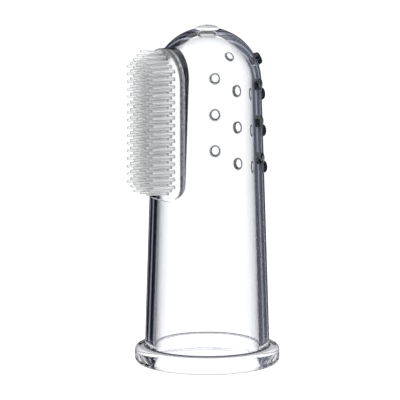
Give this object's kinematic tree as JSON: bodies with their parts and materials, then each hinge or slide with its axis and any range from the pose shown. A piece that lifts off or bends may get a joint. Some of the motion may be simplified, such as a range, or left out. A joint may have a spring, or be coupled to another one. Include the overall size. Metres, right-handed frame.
{
  "type": "finger toothbrush",
  "caption": "Clear silicone finger toothbrush: a domed finger sleeve on a round base ring, with a pad of soft bristles and massage nubs.",
  "frame": {"origin": "on the sleeve's axis at the mouth of the finger opening, in the plane of the base ring's underside", "axes": "+Z along the sleeve's axis from the open mouth to the domed end, -Y towards the side that carries the bristles"},
  "size_m": [0.024, 0.0253, 0.0565],
  "materials": {
    "clear_silicone": "clear, glossy, slightly blue in thick places",
    "bristle_silicone": "clear with a slight milky haze, glossy"
  },
  "bodies": {
    "root": {"base_ring": "clear_silicone", "bristle_comb_1": "bristle_silicone", "bristle_comb_2": "bristle_silicone", "bristle_comb_3": "bristle_silicone", "bristle_comb_4": "bristle_silicone", "bristle_comb_5": "bristle_silicone", "bristle_comb_6": "bristle_silicone", "bristle_comb_7": "bristle_silicone", "bristle_comb_8": "bristle_silicone", "bristle_comb_9": "bristle_silicone", "bristle_pad": "clear_silicone", "crown_boss": "clear_silicone", "finger_sleeve": "clear_silicone", "massage_nub_dome_left": "clear_silicone", "massage_nub_dome_right": "clear_silicone", "massage_nub_inner_left_1": "clear_silicone", "massage_nub_inner_left_2": "clear_silicone", "massage_nub_inner_left_3": "clear_silicone", "massage_nub_inner_right_1": "clear_silicone", "massage_nub_inner_right_2": "clear_silicone", "massage_nub_inner_right_3": "clear_silicone", "massage_nub_outer_left_1": "clear_silicone", "massage_nub_outer_left_2": "clear_silicone", "massage_nub_outer_left_3": "clear_silicone", "massage_nub_outer_right_1": "clear_silicone", "massage_nub_outer_right_2": "clear_silicone", "massage_nub_outer_right_3": "clear_silicone"}
  },
  "joints": []
}
